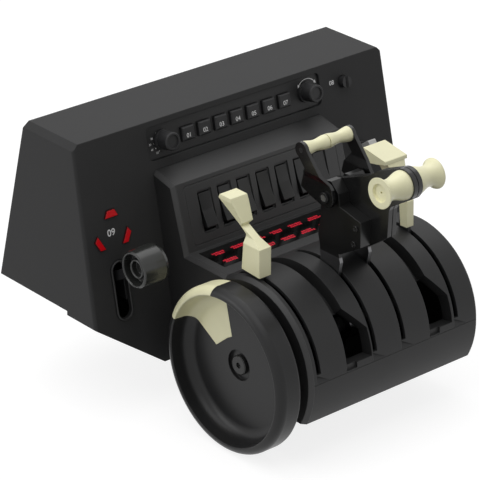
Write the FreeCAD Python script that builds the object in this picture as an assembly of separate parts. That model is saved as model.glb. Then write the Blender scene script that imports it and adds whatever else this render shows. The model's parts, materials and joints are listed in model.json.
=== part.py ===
"""Desktop throttle quadrant: a wedge-shaped housing that rests on a desk, with a lever drum and
a trim wheel that hang in front of the desk's edge.  Millimetres, +Z up, +X to the operator's
right, -Y towards the operator.  The origin is at the middle of the rubber pad's lower face, which
rests on the desk.  Depths are written from the foot of the front panel, and save() moves every
finished shape back to the origin."""
import FreeCAD, Part
import math
import os
from FreeCAD import Vector

# ---------------------------------------------------------------- driving dimensions
# housing
half_width = 170.4          # at the lip
side_lean = 0.03            # inward lean of each side per unit of height
front_lean = 0.2            # backward lean of the front panel
back_lean = 0.235           # forward lean of the back panel
housing_top = 148.0
housing_base = 1.6          # underside over the desk
housing_depth = 129.4       # back edge at the lip's level
lip_z = -2.0                # lowest edge of the side walls, in front of the desk
wall = 3.0
top_chamfer = 5.0
front_radius = 3.0
desk_edge_y = 37.6          # the apron's back wall, which meets the desk's edge
origin_y = 84.0             # middle of the desk pad, behind the foot of the front panel
pad_length, pad_depth = 300.0, 78.0
pad_round = 8.0
apron_bottom = -47.6
apron_half = 107.0          # half width of the apron's foot
# pedestal under the levers
pedestal_half = 92.0
pedestal_chamfer = 4.0
side_plate = 3.8
ledge_y, ledge_z = -2.4, 102.8
shelf_y, shelf_z = -19.2, 47.6
ledge_back_z = 108.4
seam = 0.3                  # gap where two fixed shells meet
# lever drum
drum_y, drum_z = -100.2, -14.7
drum_radius = 70.5
drum_wall = 3.0
slot_start, slot_end = 70.0, 170.0      # degrees round the drum's axis, from +Y up and over
slot_width = 4.6
seam_angle = 176.6
channel_width = 11.0        # of a channel's upper, narrow part
channel_flare = (136.0, 153.0)          # degrees between which a channel widens to its right
channel_end = 172.0
channel_depth = 11.5
trough_wall = 2.0
channel_web = 1.2           # thickness of a channel's right wall
facet_depth = 2.4           # slanted facet at the lower end of each slot
# levers on the shaft
hub_radius = 13.0
hub_length = 10.0
blade_thick = 3.2
spoiler_x = -(pedestal_half - side_plate - 0.2 - hub_length / 2.0)
right_support_x = pedestal_half - side_plate - 6.2
flap_x = right_support_x - 15.6
thrust_mid_x = -7.8         # midway between the two thrust levers' blades
thrust_offset = 15.5
head_mid_x = -9.6           # midway between the two thrust levers' heads
shaft_radius = 5.0
running_gap = 0.05          # radial clearance of each hub on its pin
# trim wheel
wheel_radius = 70.3
rim_back = -(pedestal_half + 9.0)
rim_front = rim_back - 22.4
web_front = rim_back - 4.3
rim_inner = 62.6            # radius of the dish's wall
rim_round = 8.0
dish_fillet = 10.0
web_thick = 4.8
wheel_recess = 13.0         # radius of the counterbore for the end screw's head
recess_depth = 3.0
insert_gap = 0.1
# panel controls
button_pitch, button_width, button_height = 17.4, 12.6, 11.6
button_count = 7
button_first_x, button_z = -51.5, 129.0
button_stand = 3.2
button_travel = 1.2
control_gap = 0.3
panel_half = pedestal_half - 10.5       # half width of the rocker panel
rocker_count = 7
rocker_pitch = panel_half / 3.956
rocker_width, rocker_height = 11.4, 30.0
strip_half, strip_bottom, strip_top = 93.0, 115.5, 143.0
strip_recess = 2.0
selector_x, encoder_x, knob_z = -77.0, 78.0, 129.8
side_lever_x = half_width - 31.2
switch_x = half_width - 41.4
side_slot_width, side_slot_length = 12.8, 46.2
gear_slot_bottom = -0.4
switch_slot_bottom = 26.5
autopilot_x, autopilot_z = 118.5, 129.0

# ---------------------------------------------------------------- derived values
front_angle = math.degrees(math.atan(front_lean))
face_angle = math.degrees(math.atan2(ledge_y - shelf_y, ledge_z - shelf_z))
thrust_left_x = thrust_mid_x - thrust_offset
thrust_right_x = thrust_mid_x + thrust_offset
hub_bore = shaft_radius + running_gap
pedestal_inner = pedestal_half - side_plate


def front_y(z):
    return front_lean * (z - lip_z)


def back_y(z):
    return housing_depth - back_lean * (z - lip_z)


# ---------------------------------------------------------------- shape helpers
def box(x0, x1, y0, y1, z0, z1):
    return Part.makeBox(x1 - x0, y1 - y0, z1 - z0, Vector(x0, y0, z0))


def prism_x(points, x0, x1):
    """Side outline (y, z) drawn out along X."""
    wire = Part.makePolygon([Vector(x0, y, z) for y, z in points + points[:1]])
    return Part.Face(wire).extrude(Vector(x1 - x0, 0, 0))


def prism_y(points, y0, y1):
    """Front outline (x, z) drawn out along Y."""
    wire = Part.makePolygon([Vector(x, y0, z) for x, z in points + points[:1]])
    return Part.Face(wire).extrude(Vector(0, y1 - y0, 0))


def cyl_x(y, z, radius, x0, x1):
    return Part.makeCylinder(radius, x1 - x0, Vector(x0, y, z), Vector(1, 0, 0))


def cyl_y(x, z, radius, y0, y1):
    return Part.makeCylinder(radius, y1 - y0, Vector(x, y0, z), Vector(0, 1, 0))


def cyl_z(x, y, radius, z0, z1):
    return Part.makeCylinder(radius, z1 - z0, Vector(x, y, z0), Vector(0, 0, 1))


def turned_x(profile, y, z):
    """Closed (x, radius) profile turned about an axis along X."""
    wire = Part.makePolygon([Vector(x, r, 0) for x, r in profile + profile[:1]])
    solid = Part.Face(wire).revolve(Vector(0, 0, 0), Vector(1, 0, 0), 360)
    solid.translate(Vector(0, y, z))
    return solid


def turned_spline(ends, curve, y, z, bore=0.0):
    """A grip turned about an axis along X: flat ends and a smooth (x, radius) side."""
    x0, x1 = ends
    side = Part.BSplineCurve()
    side.interpolate([Vector(x, r, 0) for x, r in curve])
    start, stop = curve[0], curve[-1]
    inner = max(bore, 0.0)
    edges = [side.toShape(),
             Part.makeLine(Vector(x1, stop[1], 0), Vector(x1, inner, 0)),
             Part.makeLine(Vector(x1, inner, 0), Vector(x0, inner, 0)),
             Part.makeLine(Vector(x0, inner, 0), Vector(x0, start[1], 0))]
    solid = Part.Face(Part.Wire(edges)).revolve(Vector(0, 0, 0), Vector(1, 0, 0), 360)
    solid.translate(Vector(0, y, z))
    return solid


def inset_outline(points, distance):
    """Offsets a closed, anticlockwise outline inwards by a wall's thickness."""
    result = []
    count = len(points)
    for i in range(count):
        before, here, after = points[i - 1], points[i], points[(i + 1) % count]
        lines = []
        for (ax, ay), (bx, by) in ((before, here), (here, after)):
            length = math.hypot(bx - ax, by - ay)
            nx, ny = -(by - ay) / length, (bx - ax) / length
            lines.append((nx, ny, nx * ax + ny * ay + distance))
        (a1, b1, c1), (a2, b2, c2) = lines
        det = a1 * b2 - a2 * b1
        result.append(((c1 * b2 - c2 * b1) / det, (a1 * c2 - a2 * c1) / det))
    return result


def polar(angle, radius):
    """A point round the drum's axis, as (y, z)."""
    turn = math.radians(angle)
    return drum_y + radius * math.cos(turn), drum_z + radius * math.sin(turn)


def drum_sector(radius_in, radius_out, start, end, x0, x1):
    """Part of a ring round the drum's axis, from one angle to another."""
    ring = cyl_x(drum_y, drum_z, radius_out, x0, x1).cut(cyl_x(drum_y, drum_z, radius_in, x0 - 1, x1 + 1))
    far = 2.0 * radius_out
    middle = (start + end) / 2.0
    fan = [(drum_y, drum_z), polar(start, far), polar(middle, far), polar(end, far)]
    return ring.common(prism_x(fan, x0 - 1, x1 + 1))


def on_front(shape):
    """From a flat front panel at y = 0, z = 0 at the lip, to the real leaning one."""
    moved = shape.copy()
    moved.rotate(Vector(0, 0, 0), Vector(1, 0, 0), -front_angle)
    moved.translate(Vector(0, 0, lip_z))
    return moved


def up_front(z):
    """Distance up the leaning panel of a height in the frame."""
    return (z - lip_z) / math.cos(math.radians(front_angle))


def on_face(shape):
    """From a flat rocker panel at y = 0, z = 0 at the shelf, to the real leaning one."""
    moved = shape.copy()
    moved.rotate(Vector(0, 0, 0), Vector(1, 0, 0), -face_angle)
    moved.translate(Vector(0, shelf_y, shelf_z))
    return moved


def rounded_plate(x0, x1, z0, z1, y0, y1, radius):
    """A plate in the XZ plane with rounded corners."""
    plate = box(x0, x1, y0, y1, z0, z1)
    edges = [e for e in plate.Edges if abs(e.tangentAt(e.FirstParameter).y) > 0.99]
    return plate.makeFillet(radius, edges)


def stadium(x, z0, z1, width, y0, y1):
    """An upright slot shape with round ends."""
    r = width / 2.0
    body = box(x - r, x + r, y0, y1, z0 + r, z1 - r)
    return body.fuse([cyl_y(x, z0 + r, r, y0, y1), cyl_y(x, z1 - r, r, y0, y1)]).removeSplitter()


def save(name, *solids):
    shape = solids[0] if len(solids) == 1 else Part.makeCompound(list(solids))
    shape = shape.copy()
    shape.translate(Vector(0, -origin_y, 0))
    shape.exportStep("parts/%s.step" % name)


# ---------------------------------------------------------------- housing
def housing_outline():
    """Side view of the whole housing, anticlockwise as (y, z)."""
    return [(front_y(apron_bottom), apron_bottom), (desk_edge_y, apron_bottom),
            (desk_edge_y, housing_base), (back_y(housing_base), housing_base),
            (back_y(housing_top), housing_top), (front_y(housing_top), housing_top)]


def housing_front(inset):
    """Front view of the housing, anticlockwise as (x, z)."""
    top_half = half_width - side_lean * (housing_top - lip_z)
    c = top_chamfer
    right = [(apron_half, apron_bottom), (half_width, lip_z), (top_half + side_lean * c, housing_top - c),
             (top_half - c, housing_top)]
    left = [(-x, z) for x, z in reversed(right)]
    outline = right + left
    return inset_outline(outline, inset) if inset else outline


def housing_body(inset):
    if not inset:
        side = housing_outline()
    else:
        slope = math.hypot(1.0, front_lean)
        step = desk_edge_y + wall
        low = apron_bottom + inset
        high = housing_top - inset
        under = housing_base - 5.0
        side = [(front_y(low) + inset * slope, low), (desk_edge_y - inset, low),
                (desk_edge_y - inset, housing_base + inset), (step, housing_base + inset), (step, under),
                (back_y(under) + 5.0, under), (back_y(high) + 5.0, high),
                (front_y(high) + inset * slope, high)]
    depth = housing_depth + 60.0
    solid = prism_x(side, -2 * half_width, 2 * half_width)
    front = prism_y(housing_front(inset), -60.0, depth)
    return solid.common(front)


def housing_shell():
    outer = housing_body(0.0)
    upright = [e for e in outer.Edges
               if e.BoundBox.ZLength > 60 and e.CenterOfMass.y < front_y(housing_top) and e.CenterOfMass.z > 0]
    outer = outer.makeFillet(front_radius, upright)
    shell = outer.cut(housing_body(wall))
    # corner posts that the base plate is screwed to
    for x in base_screw_x:
        for y in base_screw_y:
            reach = half_width - side_lean * (base_top + post_height - lip_z) - wall / 2.0
            x0, x1 = sorted((x - math.copysign(post_half, x), math.copysign(reach, x)))
            post = box(x0, x1, y - post_half, y + post_half, base_top, base_top + post_height)
            post = post.cut(cyl_z(x, y, screw_radius, base_top - 1, base_top + post_height - 2.0))
            shell = shell.fuse(post)
    # recess of the control strip, lever slots, lamp pockets and the push-button's hole
    cuts = [on_front(rounded_plate(-strip_half, strip_half, up_front(strip_bottom), up_front(strip_top),
                                   -10, wall + 2, 4.0))]
    for x, bottom in ((-side_lever_x, gear_slot_bottom), (switch_x, switch_slot_bottom)):
        cuts.append(on_front(stadium(x, up_front(bottom) - bezel_rim, up_front(bottom + side_slot_length) + bezel_rim,
                                     side_slot_width + 2 * bezel_rim, -10, wall + 2)))
    for lamp in lamp_outlines:
        cuts.append(on_front(prism_y(inset_outline(lamp, -lamp_gap), -5, lamp_pocket)))
    cuts.append(on_front(cyl_y(autopilot_x, up_front(autopilot_z), autopilot_radius + control_gap, -5, wall + 2)))
    return shell.cut(Part.makeCompound(cuts))


base_top = housing_base + 2.5
base_screw_x = (12.4 - half_width, half_width - 12.4)
base_screw_y = (desk_edge_y + 14.4, housing_depth - 21.4)
post_half = 5.0
post_height = 14.0
screw_radius = 1.5
lamp_gap = 0.2
lamp_pocket = 1.6
lamp_stand = 1.2
autopilot_radius = 5.0


def lamp_bar(x, z, length, width, angle):
    """A bar-shaped lamp outline with one slanted pair of ends."""
    turn = math.radians(angle)
    ux, uz = math.cos(turn), math.sin(turn)
    half, slant = length / 2.0, width / 2.0
    corners = [(-half, -width / 2), (half, -width / 2), (half - slant, width / 2), (-half + slant, width / 2)]
    return [(x + a * ux - b * uz, up_front(z) + a * uz + b * ux) for a, b in corners]


lamp_outlines = [lamp_bar(-139.5, 86.4, 13.5, 6.0, 0.0),
                 lamp_bar(-126.5, 64.5, 14.0, 5.0, 242.0),
                 lamp_bar(-154.5, 64.5, 14.0, 5.0, 118.0)]


def gear_lamps():
    return [on_front(prism_y(outline, -lamp_stand, lamp_pocket)) for outline in lamp_outlines]


def base_plate():
    x = half_width - wall - seam - 1.0
    y0 = desk_edge_y + wall + seam
    y1 = back_y(base_top) - wall - 2 * seam
    plate = box(-x, x, y0, y1, housing_base, base_top)
    for px in base_screw_x:
        for py in base_screw_y:
            plate = plate.cut(cyl_z(px, py, screw_radius + 0.2, housing_base - 1, base_top + 1))
    for px in (-clamp_pitch_x / 2.0, clamp_pitch_x / 2.0):
        for py in (origin_y - clamp_pitch_y / 2.0, origin_y + clamp_pitch_y / 2.0):
            boss = cyl_z(px, py, clamp_hole + 3.5, base_top - 0.5, housing_base + clamp_boss)
            plate = plate.fuse(boss).cut(cyl_z(px, py, clamp_hole, housing_base - 1, housing_base + clamp_boss + 1))
    return plate.removeSplitter()


clamp_pitch_x, clamp_pitch_y = 240.0, 24.0
clamp_hole, clamp_boss = 2.5, 10.0      # tapped M6 in the base plate's bosses


def desk_pad():
    """Rubber pad under the base, holed for the clamp's bolts."""
    pad = box(-pad_length / 2, pad_length / 2, origin_y - pad_depth / 2, origin_y + pad_depth / 2, 0.0, housing_base)
    pad = pad.makeFillet(pad_round, [e for e in pad.Edges if e.BoundBox.ZLength > 1.0])
    for px in (-clamp_pitch_x / 2.0, clamp_pitch_x / 2.0):
        for py in (origin_y - clamp_pitch_y / 2.0, origin_y + clamp_pitch_y / 2.0):
            pad = pad.cut(cyl_z(px, py, clamp_hole + 1.5, -1, housing_base + 1))
    return pad


def rear_cover():
    """Closes the back of the housing between its walls, with the socket's window."""
    low, high = base_top + seam, housing_top - wall - seam
    outline = [(back_y(low) - wall, low), (back_y(low), low), (back_y(high), high), (back_y(high) - wall, high)]
    cover = prism_x(outline, -2 * half_width, 2 * half_width)
    cover = cover.common(prism_y(housing_front(wall + seam), 0, 200))
    y = back_y(usb_z)
    cover = cover.cut(box(usb_x - usb_half, usb_x + usb_half, y - 10, y + 10, usb_z - usb_tall, usb_z + usb_tall))
    for row in range(6):
        z = 96.0 + 6.0 * row
        for x in (-60.0, 60.0):
            cover = cover.cut(box(x - 22, x + 22, 60, 160, z - 1.2, z + 1.2))
    return cover


usb_x, usb_z, usb_half, usb_tall = -100.0, 24.0, 6.2, 5.6


def usb_socket():
    """The data socket: a metal shroud with its tongue, soldered to the control board."""
    y1 = back_y(usb_z) + 0.2
    y0 = y1 - 16.0
    gap = 0.2
    shroud = box(usb_x - usb_half + gap, usb_x + usb_half - gap, y0, y1, usb_z - usb_tall + gap, usb_z + usb_tall - gap)
    shroud = shroud.cut(box(usb_x - usb_half + 1, usb_x + usb_half - 1, y0 + 4, y1 + 1,
                            usb_z - usb_tall + 1, usb_z + usb_tall - 1))
    tongue = box(usb_x - 2.8, usb_x + 2.8, y0 + 3.9, y1 - 7, usb_z - 1.6, usb_z + 1.6)
    return shroud.fuse(tongue)


def control_board():
    """Main circuit board on the base plate, with its standoffs, its processor and the data socket."""
    z = usb_z - usb_tall + 0.2
    y1 = back_y(usb_z) - 6.0
    x0, x1 = usb_x - 12.0, usb_x + 68.0
    board = box(x0, x1, y1 - 50.0, y1, z - 1.6, z)
    chip = box(x0 + 40, x0 + 54, y1 - 32, y1 - 18, z, z + 1.4)
    pieces = [board, chip, usb_socket()]
    for px in (x0 + 5.0, x1 - 5.0):
        for py in (y1 - 45.0, y1 - 5.0):
            pieces.append(cyl_z(px, py, 3.0, base_top, z - 1.6))
    return pieces[0].fuse(pieces[1:]).removeSplitter()


bezel_rim, bezel_fit, bezel_stand = 2.0, 0.2, 1.6


def lever_bezel(x, bottom):
    """Raised, bevelled frame round a side slot, let into the front panel."""
    z0, z1 = up_front(bottom), up_front(bottom + side_slot_length)
    grow = bezel_rim - bezel_fit
    ring = stadium(x, z0 - grow, z1 + grow, side_slot_width + 2 * grow, -bezel_stand, wall)
    ring = ring.cut(stadium(x, z0, z1, side_slot_width, -5, wall + 2))
    rims = [e for e in ring.Edges if abs(e.BoundBox.YMin + bezel_stand) < 1e-6 and e.BoundBox.YLength < 1e-6]
    return on_front(ring.makeChamfer(0.6, rims))


def strip_panel():
    """Recessed panel that carries the selector, the keys and the encoder."""
    gap = seam
    plate = rounded_plate(-strip_half + gap, strip_half - gap, up_front(strip_bottom) + gap,
                          up_front(strip_top) - gap, strip_recess, wall + 2, 3.7)
    back = rounded_plate(-strip_half - 4, strip_half + 4, up_front(strip_bottom) - 4, up_front(strip_top) + 1.5,
                         wall, wall + 2, 3.0)
    plate = plate.fuse(back)
    half_w, half_h = button_width / 2 + control_gap, button_height / 2 + control_gap
    for i in range(button_count):
        x = button_first_x + i * button_pitch
        z = up_front(button_z)
        plate = plate.cut(box(x - half_w, x + half_w, 0, 10, z - half_h, z + half_h))
    for x in (selector_x, encoder_x):
        plate = plate.cut(cyl_y(x, up_front(knob_z), knob_stem + 0.05, 0, 10))
    return on_front(plate)


knob_stem = 3.0
key_depth = 9.0
board_back = 10.6


def key_board():
    """Circuit board behind the control strip, with a switch body under each key and knob."""
    z0, z1 = up_front(strip_bottom) + 1.0, up_front(strip_top) - 2.5
    y0 = board_back
    board = box(-strip_half + 2, autopilot_x + 12.0, y0, y0 + 1.6, z0, z1)
    parts = [autopilot_switch()]
    for i in range(button_count):
        x = button_first_x + i * button_pitch
        parts.append(box(x - 3, x + 3, y0 - 1.4, y0, up_front(button_z) - 3, up_front(button_z) + 3))
    for x in (selector_x, encoder_x):
        can = box(x - 6.5, x + 6.5, wall + 2, y0, up_front(knob_z) - 6.5, up_front(knob_z) + 6.5)
        parts.append(can.cut(cyl_y(x, up_front(knob_z), knob_stem + 0.05, 0, y0 - 1)))
    return on_front(board.fuse(parts).removeSplitter())


def key_cap(index):
    """A square key: bevelled cap in its window, with a flange behind the panel."""
    x = button_first_x + index * button_pitch
    z = up_front(button_z)
    w, h = button_width / 2, button_height / 2
    face = strip_recess - button_stand
    cap = box(x - w, x + w, face, key_depth - button_travel - 1.3, z - h, z + h)
    top = [e for e in cap.Edges if abs(e.CenterOfMass.y - face) < 1e-6]
    cap = cap.makeChamfer(1.0, top)
    flange = box(x - w - 1.2, x + w + 1.2, wall + 2 + 0.1, wall + 3.1, z - h - 1.0, z + h + 1.0)
    return on_front(cap.fuse(flange).removeSplitter())


def panel_knob(x):
    """A round knob with a dished end, on its stem."""
    r = 7.6
    z = up_front(knob_z)
    y0, y1 = strip_recess - 15.0, strip_recess - 0.4
    knob = cyl_y(x, z, r, y0, y1)
    front_edge = [e for e in knob.Edges if abs(e.CenterOfMass.y - y0) < 1e-6 and e.Length > 20]
    knob = knob.makeChamfer(0.8, front_edge)
    knob = knob.cut(cyl_y(x, z, r - 2.2, y0 - 1, y0 + 1.2))
    skirt = cyl_y(x, z, r + 1.2, y1 - 2.6, y1)
    stem = cyl_y(x, z, knob_stem, y1 - 1, board_back - 1.3)
    return on_front(knob.fuse([skirt, stem]).removeSplitter())


def autopilot_button():
    """Round push-button with a V notch across its cap."""
    z = up_front(autopilot_z)
    x = autopilot_x
    cap = cyl_y(x, z, autopilot_radius, -6.0, wall + 2.6)
    notch = Part.Face(Part.makePolygon([Vector(x - 6, -7, z - 2.6), Vector(x - 6, -4.2, z), Vector(x - 6, -7, z + 2.6),
                                        Vector(x - 6, -7, z - 2.6)])).extrude(Vector(12, 0, 0))
    notch.rotate(Vector(x, 0, z), Vector(0, 1, 0), 90)
    cap = cap.cut(notch)
    flange = cyl_y(x, z, autopilot_radius + 1.5, wall + 0.1, wall + 2.6)
    return on_front(cap.fuse(flange).removeSplitter())


def autopilot_switch():
    """Switch body behind the push-button, drawn on the flat panel."""
    z = up_front(autopilot_z)
    x = autopilot_x
    r = autopilot_radius + 2.0
    can = box(x - r - 2, x + r + 2, wall + seam, board_back, z - r - 2, z + r + 2)
    return can.cut(cyl_y(x, z, r, wall - 1, wall + 4.6))


# ---------------------------------------------------------------- side levers in the front panel
side_arm_half, side_arm_deep = 2.5, 4.0
side_hub_radius, side_hub_half = 7.0, 5.0
side_pin = 3.0
bracket_gap, bracket_wall = 0.5, 3.5
gear_pivot = (32.0, 21.0)
gear_rise, gear_reach = 31.0, 66.0
switch_pivot = (40.0, 46.5)
switch_rise, switch_reach = 36.5, 47.3
gear_knob_radius = 16.3
gear_knob_left, gear_knob_right = 11.2, 15.0        # ends of the barrel, from the arm's middle


def along(pivot, rise, reach):
    """A point (y, z) on a side lever, at a distance from its pivot."""
    turn = math.radians(rise)
    return pivot[0] - reach * math.cos(turn), pivot[1] + reach * math.sin(turn)


def side_bar(x, pivot, rise, start, end):
    """Flat bar with a round end, from one distance to another along the lever."""
    (ay, az), (by, bz) = along(pivot, rise, start), along(pivot, rise, end)
    turn = math.radians(rise)
    ny, nz = math.sin(turn) * side_arm_deep, math.cos(turn) * side_arm_deep
    x0, x1 = x - side_arm_half, x + side_arm_half
    bar = prism_x([(ay + ny, az + nz), (by + ny, bz + nz), (by - ny, bz - nz), (ay - ny, az - nz)], x0, x1)
    return bar.fuse(cyl_x(by, bz, side_arm_deep, x0, x1))


def side_arm(x, pivot, rise, reach):
    """Flat arm with a hub on its pivot pin inside the housing."""
    hub = cyl_x(pivot[0], pivot[1], side_hub_radius, x - side_hub_half, x + side_hub_half)
    arm = side_bar(x, pivot, rise, 0.0, reach).fuse(hub).removeSplitter()
    return arm.cut(cyl_x(pivot[0], pivot[1], side_pin + running_gap, x - 20, x + 20))


def side_bracket(x, pivot):
    """Bracket behind the front panel: two ears, their bridge and the pin that the arm turns on."""
    py, pz = pivot
    near = side_hub_half + bracket_gap
    far = near + bracket_wall
    y0, y1 = front_y(pz - 20), py + side_hub_radius + 5.5
    ears = box(x - far, x + far, y0, y1, pz - 9, pz + 9)
    ears = ears.cut(box(x - near, x + near, y0 - 1, y1 - 3.0, pz - 20, pz + 20))
    bracket = ears.fuse(cyl_x(py, pz, side_pin, x - far, x + far)).removeSplitter()
    return bracket.cut(on_front(box(-half_width, half_width, -60, wall, -60, 200)))


def gear_knob():
    """Wheel-shaped knob: a barrel with a cupped left end and a hub in the cup."""
    y, z = along(gear_pivot, gear_rise, gear_reach)
    x0, x1 = -side_lever_x - gear_knob_left, -side_lever_x + gear_knob_right
    r = gear_knob_radius
    profile = [(x0, r - 2.0), (x0 + 1.0, r - 0.9), (x0 + 12.0, r - 0.2), (x1 - 5.0, r), (x1 - 1.8, r - 1.4),
               (x1, r - 4.5), (x1, 0.0), (x0 + 8.0, 0.0), (x0 + 8.0, 5.8), (x0 + 3.6, 6.2), (x0 + 3.0, 6.8),
               (x0 + 3.0, 7.6), (x0 + 3.6, 8.2), (x0 + 8.0, 8.6), (x0 + 8.0, r - 4.2), (x0 + 1.0, r - 3.4),
               (x0, r - 2.9)]
    knob = turned_x(profile[::-1], y, z)
    return knob.cut(side_bar(-side_lever_x, gear_pivot, gear_rise, gear_reach - 30.0, gear_reach))


def switch_lever():
    """Right-hand side lever: arm and flat paddle moulded in one."""
    arm = side_arm(switch_x, switch_pivot, switch_rise, switch_reach)
    y, z = along(switch_pivot, switch_rise, switch_reach)
    pad = box(switch_x - 4.2, switch_x + 4.2, y - 5.4, y + 5.4, z - 4.0, z + 4.0)
    pad = pad.makeFillet(1.6, [e for e in pad.Edges if e.BoundBox.XLength > 8])
    pad.rotate(Vector(0, y, z), Vector(1, 0, 0), -switch_rise)
    return arm.fuse(pad).removeSplitter()


# ---------------------------------------------------------------- pedestal and drum shells
def pedestal_outline():
    """Side view of the pedestal behind and above the drum, anticlockwise as (y, z)."""
    shelf_end = drum_y + math.sqrt(drum_radius ** 2 - (shelf_z - drum_z) ** 2)
    foot = drum_y - math.sqrt(drum_radius ** 2 - (apron_bottom - drum_z) ** 2)
    return [(foot, apron_bottom), (front_y(apron_bottom), apron_bottom), (front_y(ledge_back_z), ledge_back_z),
            (ledge_y, ledge_z), (shelf_y, shelf_z), (shelf_end, shelf_z), (drum_y, drum_z)]


def pedestal_body(inset):
    x = 2 * pedestal_half
    outline = pedestal_outline()
    if inset:
        outline = inset_outline(outline[:-1] + [outline[-1]], inset)
        # the inside stays open to the housing's front panel
        outline[1] = (outline[1][0] + 3 * inset, outline[1][1])
        outline[2] = (outline[2][0] + 3 * inset, outline[2][1])
        outline[-1] = (drum_y, drum_z)
    prism = prism_x(outline, -x, x)
    drum = cyl_x(drum_y, drum_z, drum_radius - inset, -x, x)
    body = prism.fuse(drum).removeSplitter()
    floor = box(-2 * x, 2 * x, -300, 100, apron_bottom + inset, 200)
    return body.common(floor)


def side_panel(sign):
    """End wall of the pedestal and drum, with a boss that holds the shaft's end."""
    outer = pedestal_half
    body = pedestal_body(0.0).common(box(-outer, outer, -300, 100, -100, 200))
    rim = [e for e in body.Edges
           if abs(e.BoundBox.XLength) < 1e-6 and e.CenterOfMass.x * sign > 0
           and e.CenterOfMass.z > apron_bottom + 1 and e.CenterOfMass.y < front_y(e.CenterOfMass.z) - 1.0
           and e.Length > 5.0]
    body = body.makeChamfer(side_plate - 0.6, rim)
    x0, x1 = sorted((sign * pedestal_inner, sign * outer))
    plate = body.common(box(x0, x1, -300, 100, -100, 200))
    plate = plate.cut(on_front(box(-200, 200, -0.01, 100, -100, 200)))
    plate = plate.cut(cyl_x(drum_y, drum_z, shaft_radius, x0 - 1, x1 + 1))
    return plate


def shell_between():
    """The bent cover between the end walls, before it is split into its pieces."""
    x = pedestal_inner
    slab = box(-x, x, -300, 100, -100, 200)
    shell = pedestal_body(0.0).cut(pedestal_body(drum_wall)).common(slab)
    return shell.cut(on_front(box(-200, 200, -seam, 100, -100, 200)))


shelf_end_y = drum_y + math.sqrt(drum_radius ** 2 - (shelf_z - drum_z) ** 2)
shelf_angle = math.degrees(math.atan2(shelf_z - drum_z, shelf_end_y - drum_y))
face_height = math.hypot(ledge_z - shelf_z, ledge_y - shelf_y)
panel_low, panel_high = 4.5, face_height - 3.5
lens_half, lens_back, lens_front = pedestal_half - 10.0, shelf_y - 3.3, shelf_end_y + 11.6


def console_cover(shell):
    """Ledge, rocker frame and lamp shelf of the pedestal."""
    region = prism_x([polar(shelf_angle, 20.0), polar(shelf_angle, 90.0), (60, 160), (60, 20)][::-1], -200, 200)
    cover = shell.common(region)
    cover = cover.cut(on_face(rounded_plate(-panel_half, panel_half, panel_low, panel_high, -5, 8, 3.0)))
    return cover.cut(box(-lens_half, lens_half, lens_front, lens_back, shelf_z - 1.6, shelf_z + 5))


# left edge of each channel, and the right edge of its wide part, beside a lever slot
channels = [(thrust_left_x - 30.7, thrust_left_x - 3.5), (flap_x - 29.9, flap_x - 4.8)]


def on_drum(x, angle, radius, middle):
    """A point over the drum, in the frame whose +Z runs out through the middle angle."""
    turn = math.radians(angle - middle)
    return Vector(x, -radius * math.sin(turn), radius * math.cos(turn))


def radial_prism(corners, middle, radius_in, radius_out):
    """Outline of (x, angle) corners drawn out along the drum's radius at the middle angle."""
    flat = [on_drum(x, angle, drum_radius, middle) for x, angle in corners]
    flat = [Vector(p.x, p.y, radius_in) for p in flat]
    prism = Part.Face(Part.makePolygon(flat + flat[:1])).extrude(Vector(0, 0, radius_out - radius_in))
    prism.rotate(Vector(0, 0, 0), Vector(1, 0, 0), middle - 90.0)
    prism.translate(Vector(0, drum_y, drum_z))
    return prism


def channel_space(start_x, wide_x, radius_in, radius_out, grow=0.0, web=0.0):
    """The room inside a channel: narrow above, flared to the right and wide below."""
    narrow, wide = channel_flare
    right_x = start_x + channel_width + grow
    middle = (narrow + channel_end) / 2.0
    corners = [(start_x - grow, narrow - 1.0), (right_x, narrow - 1.0), (right_x, narrow), (wide_x + web, wide),
               (wide_x + web, channel_end + 6.0), (start_x - grow, channel_end + 6.0)]
    flared = radial_prism(corners, middle, 0.5 * radius_in, radius_out + 5.0)
    flared = flared.common(drum_sector(radius_in, radius_out, narrow - 0.5, channel_end + grow,
                                       start_x - 10.0, wide_x + 10.0))
    upper = drum_sector(radius_in, radius_out, shelf_angle + 0.25, narrow, start_x - grow, right_x)
    return upper.fuse(flared)


def channel_walls(start_x, wide_x):
    """Walls of a channel inside the drum, and the floor of its narrow part."""
    deep = drum_radius - channel_depth
    reach = drum_radius - drum_wall / 2.0
    walls = channel_space(start_x, wide_x, deep, reach, trough_wall, channel_web)
    floor = drum_sector(deep - trough_wall, deep, shelf_angle + 0.25, channel_flare[0], start_x - trough_wall,
                        start_x + channel_width + trough_wall)
    return walls.fuse(floor)


def slot_facet(x):
    """Wedge that cuts the slanted facet below the end of a lever slot."""
    middle = (slot_end + seam_angle) / 2.0
    low = [on_drum(x - slot_width / 2.0, slot_end + 0.4, drum_radius - facet_depth, middle),
           on_drum(x - slot_width / 2.0, seam_angle - 0.4, drum_radius, middle),
           on_drum(x + 11.0, seam_angle - 0.3, drum_radius, middle)]
    high = [Vector(p.x, p.y, drum_radius + 3.0) for p in low]
    faces = [Part.Face(Part.makePolygon(low + low[:1])), Part.Face(Part.makePolygon(high + high[:1]))]
    for i in range(3):
        j = (i + 1) % 3
        faces.append(Part.Face(Part.makePolygon([low[i], low[j], high[j], high[i], low[i]])))
    wedge = Part.makeSolid(Part.makeShell(faces))
    wedge.rotate(Vector(0, 0, 0), Vector(1, 0, 0), middle - 90.0)
    wedge.translate(Vector(0, drum_y, drum_z))
    return wedge


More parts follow.
